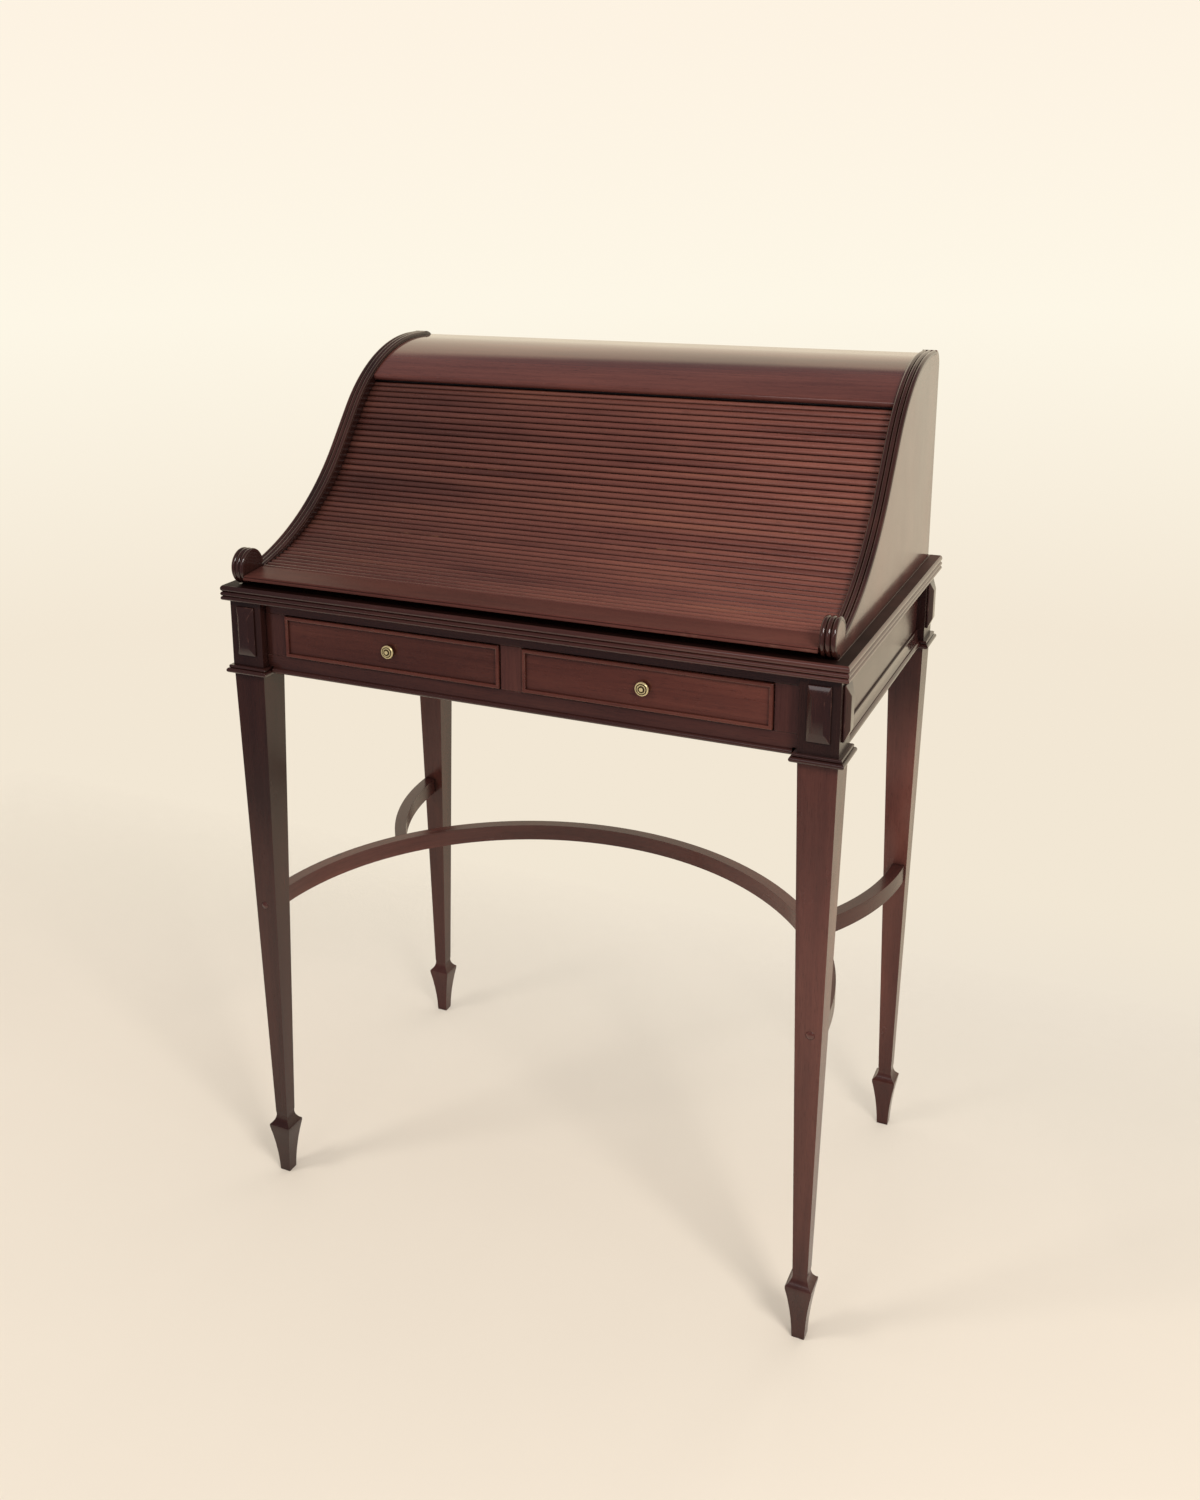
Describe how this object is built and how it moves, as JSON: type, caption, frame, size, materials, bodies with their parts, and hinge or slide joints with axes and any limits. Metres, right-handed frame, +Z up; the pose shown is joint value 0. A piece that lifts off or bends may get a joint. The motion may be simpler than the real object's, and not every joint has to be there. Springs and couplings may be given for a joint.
{
  "type": "tambour writing desk",
  "caption": "Small writing desk on tapered legs with a bowed stretcher, frieze drawers and an S-curved roll-top tambour that runs between scrolled side panels.",
  "frame": {"origin": "on the floor under the middle of the desk", "axes": "+X to the sitter's right, +Y to the back, +Z up"},
  "size_m": [0.702, 0.45, 0.992],
  "materials": {
    "mahogany": "polished red-brown mahogany",
    "slats": "polished mahogany slats",
    "inner_wood": "plain waxed inner wood",
    "brass": "aged brass",
    "steel": "plain steel screws"
  },
  "bodies": {
    "case": {"front_left_leg": "mahogany", "front_right_leg": "mahogany", "back_left_leg": "mahogany", "back_right_leg": "mahogany", "leg_collars": "mahogany", "corner_jewels": "mahogany", "front_stretcher": "mahogany", "left_rear_stretcher": "mahogany", "right_rear_stretcher": "mahogany", "stretcher_plugs": "mahogany", "stretcher_screws": "steel", "front_top_rail": "mahogany", "front_bottom_rail": "mahogany", "front_centre_stile": "mahogany", "front_end_stiles": "mahogany", "front_bead": "mahogany", "back_apron": "inner_wood", "left_apron": "mahogany", "right_apron": "mahogany", "apron_mouldings": "mahogany", "drawer_runners": "inner_wood", "drawer_guides": "inner_wood", "desk_bed": "mahogany", "bed_moulding": "mahogany", "left_side_panel": "mahogany", "right_side_panel": "mahogany", "left_edge_moulding": "mahogany", "right_edge_moulding": "mahogany", "top_board": "mahogany", "back_panel": "inner_wood", "false_back": "inner_wood", "pigeonhole_top": "mahogany", "pigeonhole_dividers": "mahogany"},
    "left_drawer": {"left_drawer_front": "mahogany", "left_drawer_bead": "mahogany", "left_drawer_sides": "inner_wood", "left_drawer_back": "inner_wood", "left_drawer_bottom": "inner_wood", "left_drawer_knob": "brass", "left_knob_screw": "steel"},
    "right_drawer": {"right_drawer_front": "mahogany", "right_drawer_bead": "mahogany", "right_drawer_sides": "inner_wood", "right_drawer_back": "inner_wood", "right_drawer_bottom": "inner_wood", "right_drawer_knob": "brass", "right_knob_screw": "steel"},
    "tambour_rail": {"tambour_lead_rail": "mahogany"},
    "tambour_part_01": {"tambour_section_01": "slats"},
    "tambour_part_02": {"tambour_section_02": "slats"},
    "tambour_part_03": {"tambour_section_03": "slats"},
    "tambour_part_04": {"tambour_section_04": "slats"},
    "tambour_part_05": {"tambour_section_05": "slats"},
    "tambour_part_06": {"tambour_section_06": "slats"},
    "tambour_part_07": {"tambour_section_07": "slats"},
    "tambour_part_08": {"tambour_section_08": "slats"},
    "tambour_part_09": {"tambour_section_09": "slats"},
    "tambour_part_10": {"tambour_section_10": "slats"},
    "tambour_part_11": {"tambour_section_11": "slats"}
  },
  "joints": [
    {"name": "left_drawer_slide", "type": "slide", "parent": "case", "child": "left_drawer", "axis": [0, -1, 0], "range_m": [0, 0.23]},
    {"name": "right_drawer_slide", "type": "slide", "parent": "case", "child": "right_drawer", "axis": [0, -1, 0], "range_m": [0, 0.23]},
    {"name": "tambour_lift", "type": "hinge", "parent": "case", "child": "tambour_rail", "pos_m": [0, -0.28623, 1.1606], "axis": [1, 0, 0], "range_deg": [0, 39.97], "deforming": ["tambour_section_01", "tambour_section_02", "tambour_section_03", "tambour_section_04", "tambour_section_05", "tambour_section_06", "tambour_section_07", "tambour_section_08", "tambour_section_09", "tambour_section_10", "tambour_section_11"]},
    {"name": "tambour_part_01_turn", "type": "hinge", "parent": "case", "child": "tambour_part_01", "pos_m": [0, -0.35103, 1.25482], "axis": [1, 0, 0], "range_deg": [0, 31.4]},
    {"name": "tambour_part_02_turn", "type": "hinge", "parent": "case", "child": "tambour_part_02", "pos_m": [0, -0.73897, 1.75943], "axis": [1, 0, 0], "range_deg": [0, 14.23]},
    {"name": "tambour_part_03_turn", "type": "hinge", "parent": "case", "child": "tambour_part_03", "pos_m": [0, 1.59193, -1.1031], "axis": [1, 0, 0], "range_deg": [-6.5, 0]},
    {"name": "tambour_part_04_turn", "type": "hinge", "parent": "case", "child": "tambour_part_04", "pos_m": [0, 0.23236, 0.60708], "axis": [1, 0, 0], "range_deg": [-45.46, 0]},
    {"name": "tambour_part_05_turn", "type": "hinge", "parent": "case", "child": "tambour_part_05", "pos_m": [0, 0.13081, 0.75711], "axis": [1, 0, 0], "range_deg": [-86.32, 0]},
    {"name": "tambour_part_06_turn", "type": "hinge", "parent": "case", "child": "tambour_part_06", "pos_m": [0, 0.10036, 0.81839], "axis": [1, 0, 0], "range_deg": [-125.61, 0]},
    {"name": "tambour_part_07_turn", "type": "hinge", "parent": "case", "child": "tambour_part_07", "pos_m": [0, 0.09597, 0.83311], "axis": [1, 0, 0], "range_deg": [-139.4, 0]},
    {"name": "tambour_part_08_turn", "type": "hinge", "parent": "case", "child": "tambour_part_08", "pos_m": [0, 0.0959, 0.83471], "axis": [1, 0, 0], "range_deg": [-141.16, 0]},
    {"name": "tambour_part_09_turn", "type": "hinge", "parent": "case", "child": "tambour_part_09", "pos_m": [0, 0.0954, 0.83364], "axis": [1, 0, 0], "range_deg": [-139.77, 0]},
    {"name": "tambour_part_10_turn", "type": "hinge", "parent": "case", "child": "tambour_part_10", "pos_m": [0, 0.08972, 0.82696], "axis": [1, 0, 0], "range_deg": [-130.36, 0]},
    {"name": "tambour_part_11_turn", "type": "hinge", "parent": "case", "child": "tambour_part_11", "pos_m": [0, 0.08263, 0.822], "axis": [1, 0, 0], "range_deg": [-122.58, 0]}
  ],
  "couplings": [
    {"joint": "tambour_part_01_turn", "follows": "tambour_lift", "ratio": 0.78528},
    {"joint": "tambour_part_02_turn", "follows": "tambour_lift", "ratio": 0.35585},
    {"joint": "tambour_part_03_turn", "follows": "tambour_lift", "ratio": -0.16244},
    {"joint": "tambour_part_04_turn", "follows": "tambour_lift", "ratio": -1.1372},
    {"joint": "tambour_part_05_turn", "follows": "tambour_lift", "ratio": -2.1594},
    {"joint": "tambour_part_06_turn", "follows": "tambour_lift", "ratio": -3.1425},
    {"joint": "tambour_part_07_turn", "follows": "tambour_lift", "ratio": -3.4876},
    {"joint": "tambour_part_08_turn", "follows": "tambour_lift", "ratio": -3.5316},
    {"joint": "tambour_part_09_turn", "follows": "tambour_lift", "ratio": -3.4968},
    {"joint": "tambour_part_10_turn", "follows": "tambour_lift", "ratio": -3.2613},
    {"joint": "tambour_part_11_turn", "follows": "tambour_lift", "ratio": -3.0667}
  ]
}
